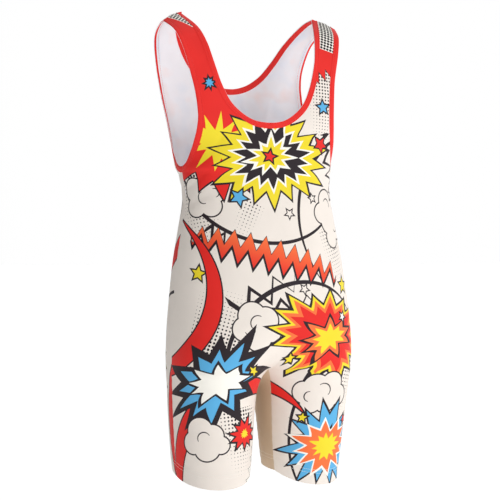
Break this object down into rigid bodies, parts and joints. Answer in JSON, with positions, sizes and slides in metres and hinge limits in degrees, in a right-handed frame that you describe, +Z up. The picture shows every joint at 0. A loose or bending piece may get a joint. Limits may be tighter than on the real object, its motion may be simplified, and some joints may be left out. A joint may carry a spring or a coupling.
{
  "type": "wrestling singlet",
  "caption": "One-piece sleeveless wrestling singlet with shoulder straps, scooped neck, deep armholes and thigh-length legs, standing hollow in its worn shape.",
  "frame": {"origin": "midway between the two strap crests, level with their inner corners, where the shoulders hold the garment", "axes": "+Z up, the front faces -Y, the wearer's left is +X"},
  "size_m": [0.3414, 0.2398, 0.8372],
  "materials": {
    "printed_knit": "smooth stretch knit with an all-over printed pattern, soft sheen",
    "plain_knit": "smooth unprinted stretch knit",
    "red_binding": "folded knit binding, soft sheen"
  },
  "bodies": {
    "root": {"front_panel": "printed_knit", "back_panel": "printed_knit", "gusset": "plain_knit", "neck_binding_front": "red_binding", "neck_binding_back": "red_binding", "armhole_binding_left": "red_binding", "armhole_binding_right": "red_binding", "hem_left": "printed_knit", "hem_right": "printed_knit"}
  },
  "joints": []
}
